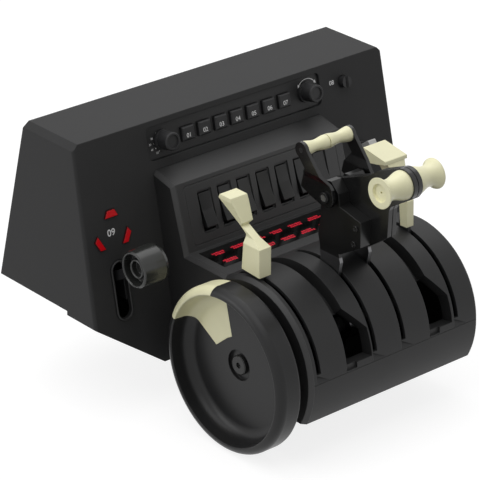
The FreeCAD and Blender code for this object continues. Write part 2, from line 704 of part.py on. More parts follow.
def drum_upper_shell():
    """Upper half of the drum, slotted for the levers, with two open channels."""
    x = pedestal_inner
    half = slot_width / 2.0
    upper = drum_sector(drum_radius - drum_wall, drum_radius, shelf_angle + 0.25, seam_angle, -x, x)
    for start_x, wide_x in channels:
        upper = upper.fuse(channel_walls(start_x, wide_x))
        upper = upper.cut(channel_space(start_x, wide_x, drum_radius - channel_depth, drum_radius + 5.0))
        upper = upper.cut(drum_sector(drum_radius - 2.2, drum_radius + 5, channel_end - 0.1, channel_end + 3.8,
                                      start_x, start_x + channel_width))
    for lever_x in (spoiler_x, thrust_left_x, thrust_right_x, flap_x):
        upper = upper.cut(drum_sector(drum_radius - 14, drum_radius + 5, slot_start, slot_end,
                                      lever_x - half, lever_x + half))
        upper = upper.cut(slot_facet(lever_x))
    return upper.removeSplitter()


def drum_lower_shell(shell):
    """Nose and floor of the drum, from the seam to the apron."""
    keep = shell.cut(prism_x([polar(shelf_angle, 20.0), polar(shelf_angle, 90.0), (60, 160), (60, 20)][::-1],
                             -200, 200))
    sector = drum_sector(20.0, drum_radius + 5, shelf_angle - 5, seam_angle + 0.25, -200, 200)
    keep = keep.cut(sector)
    x = pedestal_inner
    floor_in = apron_bottom + drum_wall
    for sx in support_x:
        socket = box(sx - support_half - 2.5, sx + support_half + 2.5, drum_y - 19, drum_y + 19, floor_in, floor_in + 4)
        socket = socket.cut(box(sx - support_half, sx + support_half, drum_y - 16.5, drum_y + 16.5, floor_in - 1, floor_in + 6))
        keep = keep.fuse(socket)
    return keep.removeSplitter()


support_x = (spoiler_x + 15.0, thrust_mid_x, right_support_x)
support_half = 3.0


def shaft_supports():
    """Aluminium pillars on the drum's floor that the fixed shaft is clamped in."""
    pillars = []
    z0 = apron_bottom + drum_wall
    for sx in support_x:
        foot = box(sx - support_half, sx + support_half, drum_y - 16.5, drum_y + 16.5, z0, z0 + 6)
        post = box(sx - support_half, sx + support_half, drum_y - 9, drum_y + 9, z0 + 5.9, drum_z)
        head = cyl_x(drum_y, drum_z, 9.0, sx - support_half, sx + support_half)
        pillar = foot.fuse([post, head]).removeSplitter()
        pillars.append(pillar.cut(cyl_x(drum_y, drum_z, shaft_radius, sx - 10, sx + 10)))
    return pillars


screw_gap = 0.3
shaft_left = web_front + recess_depth - screw_gap


def main_shaft():
    shaft = cyl_x(drum_y, drum_z, shaft_radius, shaft_left, pedestal_half - 0.8)
    return shaft


def shaft_spacers():
    """Plain sleeves that fill the shaft between hubs and pillars."""
    sleeves = []
    ends = sorted([(lever_x - hub_length / 2, lever_x + hub_length / 2) for lever_x in
                   (spoiler_x, thrust_left_x, thrust_right_x, flap_x)]
                  + [(sx - support_half, sx + support_half) for sx in support_x])
    for (a0, a1), (b0, b1) in zip(ends, ends[1:]):
        near, far = a1 + 0.2, b0 - 0.2
        if far - near > 1.0:
            ring = cyl_x(drum_y, drum_z, shaft_radius + 1.5, near, far)
            sleeves.append(ring.cut(cyl_x(drum_y, drum_z, shaft_radius, near - 1, far + 1)))
    return sleeves


def rocker_panel():
    """Moulded panel with a well for each rocker switch."""
    gap = seam
    plate = rounded_plate(-panel_half + gap, panel_half - gap, panel_low + gap, panel_high - gap, 0.0, 4.0, 2.8)
    back = box(-panel_half - 2.5, panel_half + 2.5, drum_wall + 0.1, drum_wall + 3.0, panel_low - 1.0, panel_high + 1.5)
    plate = plate.fuse(back)
    middle = (panel_low + panel_high) / 2.0
    for i in range(rocker_count):
        x = (i - (rocker_count - 1) / 2.0) * rocker_pitch
        plate = plate.cut(rounded_plate(x - rocker_width / 2 - 1.8, x + rocker_width / 2 + 1.8,
                                        middle - rocker_height / 2 - 2.6, middle + rocker_height / 2 + 2.6, -1, 1.4, 1.0))
        plate = plate.cut(box(x - rocker_width / 2 - 0.4, x + rocker_width / 2 + 0.4, -1, 12,
                              middle - rocker_height / 2 - 1.2, middle + rocker_height / 2 + 1.2))
    # rail with the pivot rod and the switch board behind
    half = (rocker_count - 1) / 2.0 * rocker_pitch + rocker_width
    depth = rocker_pivot_depth
    rail = [cyl_x(depth, middle, rocker_pin, -half, half),
            box(-half, half, depth + 6.5, depth + 8.1, middle - 16, middle + 16)]
    for i in range(rocker_count + 1):
        x = (i - rocker_count / 2.0) * rocker_pitch
        rail.append(box(x - 1.6, x + 1.6, drum_wall + 1.0, depth + 6.6, middle - 5, middle + 5))
    return on_face(plate.fuse(rail).removeSplitter())


rocker_pivot_depth = 6.5
rocker_pin = 1.5
rocker_tilt = -9.0


def rocker(index):
    """Rocker with its lower half standing proud, on its own pivot barrel."""
    x = (index - (rocker_count - 1) / 2.0) * rocker_pitch
    middle = (panel_low + panel_high) / 2.0
    x0, x1 = x - rocker_width / 2, x + rocker_width / 2
    h = rocker_height / 2
    pivot = rocker_pivot_depth
    # drawn level, then tilted about its pivot
    outline = [(-1.6, -h + 0.8), (-0.4, 0.0), (-1.6, h - 0.8), (0.6, h), (pivot - 3, h - 5.0), (pivot + 2, 4.0),
               (pivot + 2, -4.0), (pivot - 3, -h + 5.0), (0.6, -h)]
    body = prism_x([(y, middle + z) for y, z in outline], x0, x1)
    body = body.cut(cyl_x(pivot, middle, rocker_pin + running_gap, x0 - 1, x1 + 1))
    body.rotate(Vector(0, pivot, middle), Vector(1, 0, 0), rocker_tilt)
    return on_face(body)


def annunciator_lens():
    """Glossy window over the warning lamps, let into the shelf."""
    gap = seam
    return box(-lens_half + gap, lens_half - gap, lens_front + gap, lens_back - gap, shelf_z - 1.6, shelf_z - 0.2)


# ---------------------------------------------------------------- levers on the shaft
def hub(x):
    return cyl_x(drum_y, drum_z, hub_radius, x - hub_length / 2, x + hub_length / 2)


def arm_blade(x, outline):
    """Hub and flat blade of one lever, with the magnet tail under the hub, bored for the shaft."""
    half = blade_thick / 2.0
    blade = prism_x(outline, x - half, x + half)
    tail = prism_x([(drum_y - 5, drum_z - 8), (drum_y + 5, drum_z - 8), (drum_y + 3.5, drum_z - 22),
                    (drum_y - 3.5, drum_z - 22)][::-1], x - half, x + half)
    arm = blade.fuse([hub(x), tail]).removeSplitter()
    return arm.cut(cyl_x(drum_y, drum_z, hub_bore, x - 20, x + 20))


def spoiler_arm():
    return arm_blade(spoiler_x, [(drum_y - 10, drum_z + 4), (drum_y + 10, drum_z + 4), (-86.5, 52.0), (-88.0, 78.0),
                                 (-101.0, 78.0), (-103.0, 52.0)])


def spoiler_lever():
    """Ivory lever: square foot, slim waist and a flared head."""
    side = [(-105.8, 58.2), (-84.5, 59.5), (-87.0, 90.0), (-59.5, 113.6), (-61.0, 116.6), (-74.0, 116.4),
            (-83.5, 97.8), (-81.8, 95.2), (-105.8, 82.5)]
    foot, waist, head = 6.0, 3.6, 8.6
    front = [(-foot, 50.0), (foot, 50.0), (foot, 82.5), (waist, 88.0), (waist, 95.0), (foot + 0.6, 98.0),
             (head, 113.0), (head, 125.0), (-head, 125.0), (-head, 113.0), (-waist - 0.6, 95.0), (-waist, 88.0),
             (-foot, 82.5)]
    solid = prism_x(side, spoiler_x - 15, spoiler_x + 15)
    solid = solid.common(prism_y([(spoiler_x + x, z) for x, z in front], -130, -40))
    half = blade_thick / 2.0
    socket = prism_x([(-103.0, 52.0), (-86.5, 52.0), (-88.0, 78.0), (-101.0, 78.0)],
                     spoiler_x - half, spoiler_x + half)
    return solid.cut(socket)


def flap_arm():
    return arm_blade(flap_x, [(drum_y - 10, drum_z + 4), (drum_y + 10, drum_z + 4), (-101.5, 52.0), (-103.5, 70.0),
                              (-111.5, 70.0), (-113.0, 52.0)])


def flap_lever():
    """Ivory lever with a square stem and a wing-shaped handle."""
    stem_half, handle_half = 3.7, 12.1
    stem = prism_x([(-113.6, 58.6), (-105.9, 58.2), (-103.6, 79.0), (-83.5, 107.7), (-94.5, 111.2), (-113.0, 81.0)],
                   flap_x - stem_half, flap_x + stem_half)
    wing = prism_x([(-95.5, 110.1), (-85.5, 107.7), (-74.0, 105.7), (-67.0, 116.3), (-69.0, 117.6), (-95.1, 113.1)],
                   flap_x - handle_half, flap_x + handle_half)
    # the stem flares into the handle
    flare = prism_x([(-105.5, 93.0), (-90.5, 95.0), (-83.5, 107.0), (-94.5, 111.0)], flap_x - 15, flap_x + 15)
    flare = flare.common(prism_y([(flap_x + x, z) for x, z in ((-stem_half, 92.0), (stem_half, 92.0), (10.0, 111.5),
                                                               (-10.0, 111.5))], -130, -40))
    wing = wing.makeFillet(0.9, [e for e in wing.Edges if e.BoundBox.XLength > 20 and e.CenterOfMass.z > 112])
    half = blade_thick / 2.0
    socket = prism_x([(-113.0, 52.0), (-101.5, 52.0), (-103.5, 70.0), (-111.5, 70.0)], flap_x - half, flap_x + half)
    return stem.fuse([wing, flare]).removeSplitter().cut(socket)


plate_gap = 0.4             # between each cheek plate and the plane midway between the heads
cheek_thick = 4.0
knob_out = 29.0             # outer end of a thrust knob, from the plane midway between the heads
grip_out = 23.5             # outer end of a reverser's grip, from the same plane
knob_axis_y, knob_axis_z = -186.0, 144.5
grip_axis_y, grip_axis_z = -93.8, 149.0
reverser_pivot_y, reverser_pivot_z = -117.0, 114.8
reverser_pin = 3.0
arm_clear = 3.1             # gap between the block and the reverser's arm, filled by a washer
arm_thick = 3.0


def span(sign, near, far):
    """Distances out from the heads' mid plane, as two rising x values."""
    return sorted((head_mid_x + sign * near, head_mid_x + sign * far))


def block_out(sign):
    """Outer face of a thrust lever's block, flush with its blade, from the heads' mid plane."""
    return thrust_offset + blade_thick / 2.0 + sign * (thrust_mid_x - head_mid_x)


def thrust_arm(sign):
    """Hub and blade of a thrust lever, with the block that the cheek is screwed to."""
    x = thrust_mid_x + sign * thrust_offset
    blade = arm_blade(x, [(drum_y - 11, drum_z + 4), (drum_y + 9, drum_z + 4), (-106.0, 58.0), (-104.5, 77.0),
                          (-125.0, 74.0), (-129.0, 60.0), (-127.0, 48.0)])
    x0, x1 = span(sign, plate_gap + cheek_thick, block_out(sign))
    block = prism_x([(-129.5, 68.0), (-106.0, 64.8), (-102.9, 76.7), (-105.8, 96.0), (-104.0, 116.0),
                     (-111.0, 126.0), (-117.0, 126.8), (-125.8, 118.6), (-127.1, 108.7), (-151.9, 103.0),
                     (-151.9, 81.7)][::-1], x0, x1)
    arm = blade.fuse(block).removeSplitter()
    reach = span(sign, 0.0, 60.0)
    return arm.cut(cyl_x(reverser_pivot_y, reverser_pivot_z, reverser_pin, *reach))


def thrust_cheek(sign):
    """Broad plate beside the block that carries the knob at its round front end."""
    x0, x1 = span(sign, plate_gap, plate_gap + cheek_thick)
    plate = prism_x([(-112.0, 112.0), (-103.4, 121.7), (-123.8, 129.5), (-146.0, 138.3), (-159.4, 147.2),
                     (-179.0, 155.5), (-187.0, 157.2), (-190.5, 132.0), (-173.5, 121.5), (-171.5, 117.5),
                     (-170.5, 94.0), (-152.0, 80.5), (-129.5, 72.0), (-106.0, 76.0)], x0, x1)
    nose = cyl_x(knob_axis_y, knob_axis_z, 13.0, x0, x1)
    plate = plate.fuse(nose).removeSplitter()
    return plate.cut(cyl_x(knob_axis_y, knob_axis_z, 2.5, x0 - 1, x1 + 1))


def thrust_knob(sign):
    """Spool-shaped grip with a dished outer end, on a stub in the cheek's eye."""
    near, far = plate_gap + cheek_thick, knob_out
    length = far - near
    curve = [(0.0, 11.8), (0.12, 11.6), (0.32, 10.1), (0.55, 8.7), (0.72, 9.0), (0.87, 10.8), (0.96, 12.3), (1.0, 12.5)]
    points = [(near + t * length, r) for t, r in curve]
    grip = turned_spline((near, far), points, 0, 0)
    dish = Part.makeCone(6.9, 7.5, 2.2, Vector(far - 2.2, 0, 0), Vector(1, 0, 0))
    grip = grip.cut(dish).cut(Part.makeCylinder(1.0, 4.0, Vector(far - 5.0, 0, 0), Vector(1, 0, 0)))
    stub = Part.makeCylinder(2.5, cheek_thick + 1.0, Vector(near - cheek_thick, 0, 0), Vector(1, 0, 0))
    grip = grip.fuse(stub)
    if sign < 0:
        grip = grip.mirror(Vector(0, 0, 0), Vector(1, 0, 0))
    grip.translate(Vector(head_mid_x, knob_axis_y, knob_axis_z))
    return grip


def thrust_screws(sign):
    """Two cap screws in the block and the shouldered pivot screw of the reverser."""
    screws = []
    face = block_out(sign)
    for y, z in ((-146.5, 96.5), (-144.5, 82.5)):
        head = cyl_x(y, z, 2.6, *span(sign, face, face + 1.4))
        screws.append(head.cut(cyl_x(y, z, 1.3, *span(sign, face + 0.6, face + 3.0))))
    outer = face + arm_clear + arm_thick
    pin = cyl_x(reverser_pivot_y, reverser_pivot_z, reverser_pin, *span(sign, plate_gap + cheek_thick, outer + 1.0))
    head = cyl_x(reverser_pivot_y, reverser_pivot_z, 4.6, *span(sign, outer + 0.3, outer + 2.0))
    washer = cyl_x(reverser_pivot_y, reverser_pivot_z, 6.0, *span(sign, face, face + arm_clear - 0.3))
    screws.append(pin.fuse([head, washer]).removeSplitter())
    return screws


def reverser_arm(sign):
    """Joggled steel arm from the pivot up to the reverser's grip."""
    inner = block_out(sign) + arm_clear
    shift = grip_out - inner
    x0, x1 = span(sign, inner, grip_out + arm_thick)
    py, pz, gy, gz = reverser_pivot_y, reverser_pivot_z, grip_axis_y, grip_axis_z
    bar = prism_x([(py - 9.0, pz - 2.0), (py - 7.5, pz + 8.0), (gy - 6.3, gz + 1.5), (gy + 6.2, gz - 1.8),
                   (py + 18.6, pz + 20.0), (py + 26.0, pz + 10.7), (py + 28.5, pz + 0.7), (py + 18.6, pz - 3.6),
                   (py + 4.0, pz - 8.0)], x0, x1)
    lobe = cyl_x(py, pz, 9.0, x0, x1)
    eye = cyl_x(gy, gz, 6.6, x0, x1)
    plan = bar.fuse([lobe, eye]).removeSplitter()
    low, high = pz + 11.0, pz + 18.0
    strip = [(inner, pz - 20), (inner + arm_thick, pz - 20), (inner + arm_thick, low),
             (inner + arm_thick + shift, high), (inner + arm_thick + shift, gz + 20), (inner + shift, gz + 20),
             (inner + shift, high), (inner, low)]
    bent = prism_y([(head_mid_x + sign * x, z) for x, z in strip], -200, 0)
    arm = plan.common(bent)
    arm = arm.cut(cyl_x(py, pz, reverser_pin + running_gap, x0 - 1, x1 + 1))
    return arm.cut(cyl_x(gy, gz, 2.0, x0 - 1, x1 + 1))


def reverser_grip(sign):
    """Ivory grip, waisted between its two ends, on a stub in the arm's eye."""
    near, far = plate_gap, grip_out
    length = far - near
    curve = [(0.0, 5.9), (0.12, 5.8), (0.5, 4.7), (0.85, 6.0), (1.0, 6.4)]
    grip = turned_spline((near, far), [(near + t * length, r) for t, r in curve], 0, 0)
    stub = Part.makeCylinder(2.0, arm_thick + 1.0, Vector(far - 1.0, 0, 0), Vector(1, 0, 0))
    grip = grip.fuse(stub)
    if sign < 0:
        grip = grip.mirror(Vector(0, 0, 0), Vector(1, 0, 0))
    grip.translate(Vector(head_mid_x, grip_axis_y, grip_axis_z))
    return grip


# ---------------------------------------------------------------- trim wheel
def wheel_section():
    """Half section of the wheel, in the plane of the axis: x along it and y as the radius."""
    r = wheel_radius
    back = web_front + web_thick
    floor = web_front + recess_depth
    lip = 1.2
    turn_x = web_front - dish_fillet
    bead_x = rim_front + rim_round
    tread_back = rim_back - 3.0
    diagonal = math.sqrt(0.5)
    edges = []
    at = Vector(web_front, wheel_recess, 0)

    def line(x, y):
        nonlocal at
        to = Vector(x, y, 0)
        edges.append(Part.makeLine(at, to))
        at = to

    def arc(mid_x, mid_y, x, y):
        nonlocal at
        to = Vector(x, y, 0)
        edges.append(Part.Arc(at, Vector(mid_x, mid_y, 0), to).toShape())
        at = to

    line(web_front, rim_inner - dish_fillet)
    arc(turn_x + dish_fillet * diagonal, rim_inner - dish_fillet * (1.0 - diagonal), turn_x, rim_inner)
    line(rim_front + lip, rim_inner + 0.3)
    arc(rim_front + 0.4, rim_inner + 0.65, rim_front, rim_inner + lip + 0.3)
    arc(rim_front + rim_round * (1.0 - diagonal) - 0.2, r - rim_round * (1.0 - diagonal) + 0.4, bead_x, r)
    line(tread_back, r)
    arc(rim_back - 0.9, r - 0.9, rim_back, r - 3.0)
    line(rim_back, r - 13.0)
    line(back, r - 15.0)
    line(back, wheel_recess + 2.0)
    line(wheel_hub_end, wheel_recess)
    line(wheel_hub_end, hub_bore)
    line(floor, hub_bore)
    line(floor, wheel_recess)
    line(web_front, wheel_recess)
    return Part.Face(Part.Wire(edges))


def wheel_solid():
    solid = wheel_section().revolve(Vector(0, 0, 0), Vector(1, 0, 0), 360)
    solid.translate(Vector(0, drum_y, drum_z))
    return solid


wheel_hub_end = -pedestal_half - 1.2


def insert_region(extra):
    """The sector that the ivory marker fills; extra widens it for the wheel's cut-out."""
    r = wheel_radius
    far = 1.6 * r
    outline = [polar(15.4, 28.6), polar(23.0, 57.0), polar(22.0, r), polar(22.0, far), polar(51.0, far),
               polar(80.0, far), polar(80.0, r), polar(73.0, 53.0), polar(69.0, 23.8), polar(53.0, 23.6),
               polar(38.0, 24.0)]
    if extra:
        outline = inset_outline(outline, -extra)
    return prism_x(outline, rim_front - 5, rim_back + 5)


def trim_wheel():
    return wheel_solid().cut(insert_region(insert_gap))


def trim_insert():
    return wheel_solid().common(insert_region(0.0))


def trim_end_screw():
    """Cap screw and washer that keep the wheel on the shaft's end."""
    x = shaft_left
    head = cyl_x(drum_y, drum_z, 8.2, x - 3.4, x)
    head = head.makeChamfer(0.8, [e for e in head.Edges if abs(e.CenterOfMass.x - (x - 3.4)) < 1e-6])
    return head.cut(cyl_x(drum_y, drum_z, 2.4, x - 5, x - 1.6))


# ---------------------------------------------------------------- build
def main():
    os.makedirs("parts", exist_ok=True)
    save("housing_shell", housing_shell())
    save("base_plate", base_plate())
    save("desk_pad", desk_pad())
    save("rear_cover", rear_cover())
    save("control_board", control_board())
    save("gear_lamps", *gear_lamps())
    save("lever_bezels", lever_bezel(-side_lever_x, gear_slot_bottom), lever_bezel(switch_x, switch_slot_bottom))
    save("strip_panel", strip_panel())
    save("key_board", key_board())
    save("autopilot_button", autopilot_button())
    for i in range(button_count):
        save("key_%d" % (i + 1), key_cap(i))
    save("selector_knob", panel_knob(selector_x))
    save("encoder_knob", panel_knob(encoder_x))
    save("side_lever_brackets", side_bracket(-side_lever_x, gear_pivot), side_bracket(switch_x, switch_pivot))
    save("gear_arm", side_arm(-side_lever_x, gear_pivot, gear_rise, gear_reach))
    save("gear_knob", gear_knob())
    save("switch_lever", switch_lever())

    shell = shell_between()
    save("pedestal_side_left", side_panel(-1))
    save("pedestal_side_right", side_panel(1))
    save("console_cover", console_cover(shell))
    save("drum_upper_shell", drum_upper_shell())
    save("drum_lower_shell", drum_lower_shell(shell))
    save("rocker_panel", rocker_panel())
    for i in range(rocker_count):
        save("rocker_%d" % (i + 1), rocker(i))
    save("annunciator_lens", annunciator_lens())

    save("shaft_supports", *shaft_supports())
    save("main_shaft", main_shaft())
    save("shaft_spacers", *shaft_spacers())
    save("spoiler_arm", spoiler_arm())
    save("spoiler_lever", spoiler_lever())
    save("flap_arm", flap_arm())
    save("flap_lever", flap_lever())
    for side, sign in (("left", -1), ("right", 1)):
        save("thrust_arm_" + side, thrust_arm(sign))
        save("thrust_cheek_" + side, thrust_cheek(sign))
        save("thrust_knob_" + side, thrust_knob(sign))
        save("thrust_screws_" + side, *thrust_screws(sign))
        save("reverser_arm_" + side, reverser_arm(sign))
        save("reverser_grip_" + side, reverser_grip(sign))
    save("trim_wheel", trim_wheel())
    save("trim_insert", trim_insert())
    save("trim_end_screw", trim_end_screw())


main()
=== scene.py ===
import bmesh
import bpy
import json
import math
from mathutils import Matrix, Vector


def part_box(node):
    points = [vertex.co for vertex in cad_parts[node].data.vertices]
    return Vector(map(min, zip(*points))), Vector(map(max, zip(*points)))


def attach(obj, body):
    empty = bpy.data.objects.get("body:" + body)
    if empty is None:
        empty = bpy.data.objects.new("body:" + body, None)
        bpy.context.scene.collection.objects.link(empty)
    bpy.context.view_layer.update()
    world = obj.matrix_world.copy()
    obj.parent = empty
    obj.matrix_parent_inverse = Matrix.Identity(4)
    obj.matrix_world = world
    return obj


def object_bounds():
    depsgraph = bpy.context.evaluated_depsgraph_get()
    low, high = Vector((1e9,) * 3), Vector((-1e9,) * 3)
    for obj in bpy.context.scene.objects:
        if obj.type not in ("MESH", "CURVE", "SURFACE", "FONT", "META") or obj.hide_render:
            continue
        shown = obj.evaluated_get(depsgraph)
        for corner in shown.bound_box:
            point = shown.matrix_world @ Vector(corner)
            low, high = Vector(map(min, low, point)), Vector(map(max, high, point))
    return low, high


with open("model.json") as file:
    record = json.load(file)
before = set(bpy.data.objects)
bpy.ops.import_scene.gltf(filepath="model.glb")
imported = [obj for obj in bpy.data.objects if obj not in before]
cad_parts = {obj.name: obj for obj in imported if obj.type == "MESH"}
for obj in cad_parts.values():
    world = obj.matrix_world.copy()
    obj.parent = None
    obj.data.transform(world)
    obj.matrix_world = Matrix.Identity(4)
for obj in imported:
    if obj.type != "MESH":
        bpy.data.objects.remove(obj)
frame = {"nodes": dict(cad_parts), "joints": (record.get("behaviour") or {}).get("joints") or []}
cad_low, cad_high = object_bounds()
nodes = frame["nodes"]
joints = {joint["name"]: joint for joint in frame["joints"]}


# ---------------------------------------------------------------- housing
# A wedge-shaped ABS moulding with a fine spark-eroded texture, open at the back and underneath, and closed
# there by a cover and a base plate in the same plastic. A rubber pad lies under it, circuit boards inside.
cloud_scale, cloud_detail = 24.0, 4.0
cloud_low, cloud_high = 0.3, 0.7
tone_low, tone_high = 0.94, 1.05
roughness_change, least_roughness = 0.05, 0.03
grain_detail, grain_depth, corner_samples = 2.0, 0.0002, 4


def ramp(tree, value, start, end, first=0.0, last=1.0):
    """Turns a value's range from start to end into another range, and stops at its ends."""
    node = tree.nodes.new("ShaderNodeMapRange")
    for name, number in (("From Min", start), ("From Max", end), ("To Min", first), ("To Max", last)):
        node.inputs[name].default_value = number
    tree.links.new(value, node.inputs["Value"])
    return node.outputs["Result"]


def plastic(name, colour, roughness, grain=0.12, grain_size=0.0006, edge=0.0007, gloss=0.3):
    """Moulded plastic: a fine grain, slow changes of tone and gloss, and softly rounded corners."""
    material = bpy.data.materials.new(name)
    material.use_nodes = True
    tree = material.node_tree
    shader = tree.nodes["Principled BSDF"]
    place = tree.nodes.new("ShaderNodeTexCoord")
    cloud = tree.nodes.new("ShaderNodeTexNoise")
    cloud.inputs["Scale"].default_value = cloud_scale
    cloud.inputs["Detail"].default_value = cloud_detail
    tree.links.new(place.outputs["Object"], cloud.inputs["Vector"])
    tone = tree.nodes.new("ShaderNodeValToRGB")
    tone.color_ramp.elements[0].position = cloud_low
    tone.color_ramp.elements[1].position = cloud_high
    tone.color_ramp.elements[0].color = (*[tone_low * c for c in colour], 1)
    tone.color_ramp.elements[1].color = (*[min(1.0, tone_high * c) for c in colour], 1)
    tree.links.new(cloud.outputs["Fac"], tone.inputs["Fac"])
    tree.links.new(tone.outputs["Color"], shader.inputs["Base Color"])
    smoothest = max(least_roughness, roughness - roughness_change)
    rough = ramp(tree, cloud.outputs["Fac"], 0.0, 1.0, smoothest, roughness + roughness_change)
    tree.links.new(rough, shader.inputs["Roughness"])
    texture = tree.nodes.new("ShaderNodeTexNoise")
    texture.inputs["Scale"].default_value = 1.0 / grain_size
    texture.inputs["Detail"].default_value = grain_detail
    tree.links.new(place.outputs["Object"], texture.inputs["Vector"])
    corners = tree.nodes.new("ShaderNodeBevel")
    corners.samples = corner_samples
    corners.inputs["Radius"].default_value = edge
    bump = tree.nodes.new("ShaderNodeBump")
    bump.inputs["Strength"].default_value = grain
    bump.inputs["Distance"].default_value = grain_depth
    tree.links.new(texture.outputs["Fac"], bump.inputs["Height"])
    tree.links.new(corners.outputs["Normal"], bump.inputs["Normal"])
    tree.links.new(bump.outputs["Normal"], shader.inputs["Normal"])
    shader.inputs["Specular IOR Level"].default_value = gloss
    return material


def finish_node(material, *names):
    """Gives CAD nodes their finish."""
    for name in names:
        slots = nodes[name].data.materials
        slots.clear()
        slots.append(material)


housing_black = plastic("housing_black", (0.035, 0.035, 0.0355), 0.55, edge=0.0012, gloss=0.13)
finish_node(housing_black, "housing_shell", "base_plate", "rear_cover")
rubber = plastic("rubber", (0.02, 0.02, 0.02), 0.8, grain=0.4, grain_size=0.0012)
finish_node(rubber, "desk_pad")
solder_resist = plastic("solder_resist", (0.01, 0.09, 0.04), 0.35, grain=0.05)
finish_node(solder_resist, "control_board", "key_board")

# ---------------------------------------------------------------- gear lamps and side lever frames
# Three bar lamps of red translucent plastic, each bevelled round its face, sit in pockets round a printed
# number, above the frame of the gear lever's slot. The slot frames are separate mouldings let into the panel.
lamp_colour, lamp_light = (0.42, 0.003, 0.006), (0.7, 0.004, 0.012)
# The lamp rim colour is painted shade: a dark red laid over the lamps' sides and the edges of their faces.
lamp_rim_painted_shade, lamp_rim_width = (0.075, 0.001, 0.003), 0.0014
lamp_strength, rim_facing, face_facing, rim_samples = 0.16, 0.80, 0.985, 8
gear_number_height = 0.0056
gear_number_x, gear_number_z = -0.1412, 0.0710
figure_share, stroke_share = 0.7, 0.014
ink_height, face_flatness = 0.00004, 0.00001
front_inward = Vector(joints["key_1_press"]["axis"])


def cover(material, share, colour):
    """Lays a second colour over a finish, as far as a share from 0 to 1 says."""
    tree = material.node_tree
    base = tree.nodes["Principled BSDF"].inputs["Base Color"]
    mix = tree.nodes.new("ShaderNodeMix")
    mix.data_type = "RGBA"
    mix.inputs["B"].default_value = (*colour, 1)
    tree.links.new(base.links[0].from_socket, mix.inputs["A"])
    tree.links.new(share, mix.inputs["Factor"])
    tree.links.new(mix.outputs["Result"], base)


def paint_lamp_rim_shade(material, facing):
    """Paints shade into the colour of a lamp's sides and the edge of its face, where the light from inside
    doesn't reach.
    """
    tree = material.node_tree
    shader = tree.nodes["Principled BSDF"]
    soft = tree.nodes.new("ShaderNodeBevel")
    soft.samples = rim_samples
    soft.inputs["Radius"].default_value = lamp_rim_width
    turn = tree.nodes.new("ShaderNodeVectorMath")
    turn.operation = "DOT_PRODUCT"
    turn.inputs[1].default_value = facing
    tree.links.new(soft.outputs["Normal"], turn.inputs[0])
    cover(material, ramp(tree, turn.outputs["Value"], rim_facing, face_facing, 1.0, 0.0), lamp_rim_painted_shade)
    glow = ramp(tree, turn.outputs["Value"], rim_facing, face_facing, 0.0, lamp_strength)
    tree.links.new(glow, shader.inputs["Emission Strength"])


def put_in_scene(name, data):
    """Makes an object of a mesh, curve, lamp or camera and adds it to the scene."""
    made = bpy.data.objects.new(name, data)
    bpy.context.scene.collection.objects.link(made)
    return made


def far_face(node, direction):
    """Middle of the flat end of a node that lies farthest along a direction."""
    points = [vertex.co for vertex in nodes[node].data.vertices]
    reach = max(point.dot(direction) for point in points)
    rim = [point for point in points if point.dot(direction) > reach - face_flatness]
    return sum(rim, Vector()) / len(rim)


def panel_axes(point, inward):
    """A panel's own axes at a point on it: right, up and out of the panel."""
    out = -inward.normalized()
    right = Vector((1, 0, 0))
    axes = Matrix((right, out.cross(right), out)).transposed().to_4x4()
    axes.translation = point
    return axes


def front_plane(x, z):
    """The sloping front panel's axes at the point on it with this x and z."""
    panel = far_face("housing_shell", -front_inward)
    y = panel.y + (panel.z - z) * front_inward.z / front_inward.y
    return panel_axes(Vector((x, y, z)), front_inward)


def lay_flat(name, mesh, axes, body, material):
    """Prints a flat mesh on a surface and lets it ride on that surface's body."""
    mesh.transform(axes @ Matrix.Translation((0, 0, ink_height)))
    mesh.materials.clear()
    mesh.materials.append(material)
    piece = put_in_scene(name, mesh)
    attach(piece, body)


def figures(text, height):
    """Plain figures as a flat mesh, a little thickened and centred on their own middle."""
    curve = bpy.data.curves.new("figures", "FONT")
    curve.body = text
    curve.size = height / figure_share
    curve.align_x = "CENTER"
    curve.align_y = "CENTER"
    curve.offset = stroke_share * curve.size
    holder = put_in_scene("figures", curve)
    bpy.context.view_layer.update()
    mesh = bpy.data.meshes.new_from_object(holder)
    bpy.data.objects.remove(holder)
    return mesh


lamp_red = plastic("lamp_red", lamp_colour, 0.3, grain=0.0, edge=0.0012, gloss=0.25)
lamp_red.node_tree.nodes["Principled BSDF"].inputs["Emission Color"].default_value = (*lamp_light, 1)
# Darkens the lamps' sides and face edges with painted shade.
paint_lamp_rim_shade(lamp_red, -front_inward)
finish_node(lamp_red, "gear_lamps")
drum_black = plastic("drum_black", (0.017, 0.017, 0.0174), 0.5, gloss=0.3)
finish_node(drum_black, "lever_bezels")
print_white = plastic("print_white", (0.8, 0.8, 0.8), 0.5, grain=0.0)
lay_flat("gear_number", figures("09", gear_number_height), front_plane(gear_number_x, gear_number_z),
         "housing", print_white)

# ---------------------------------------------------------------- control strip
# A recessed panel with seven square keys, a selector and an encoder, and a round push-button on the front
# panel. Each key has a printed number, and a scale, an arrow or a number is printed beside the other three.
key_number_height, key_number_drop = 0.0036, 0.0018
strip_depth = 0.002
dot_radius, dot_corners = 0.0005, 12
scale_turns = (112.0, 144.0, 176.0, 208.0, 240.0)
scale_across, scale_up, scale_drop = 0.0084, 0.0076, 0.0018
scale_number_across, scale_number_up, scale_number_height = 0.0126, 0.0088, 0.0016
arrow_radius, arrow_half_width, arrow_steps = 0.0114, 0.0003, 14
arrow_start, arrow_sweep = math.radians(42.0), math.radians(96.0)
head_half_width, head_sweep = 0.0014, 0.24
arrow_up, arrow_right = -0.0006, 0.0024
button_number_height = 0.0038
button_number_x, button_number_z = 0.1062, 0.1305


def strip_plane(joint, up, right):
    """The strip's axes, measured from the axis of one of its knobs."""
    point = Vector(joints[joint]["pos_m"]) + front_inward * strip_depth
    return panel_axes(point, front_inward) @ Matrix.Translation((right, up, 0))


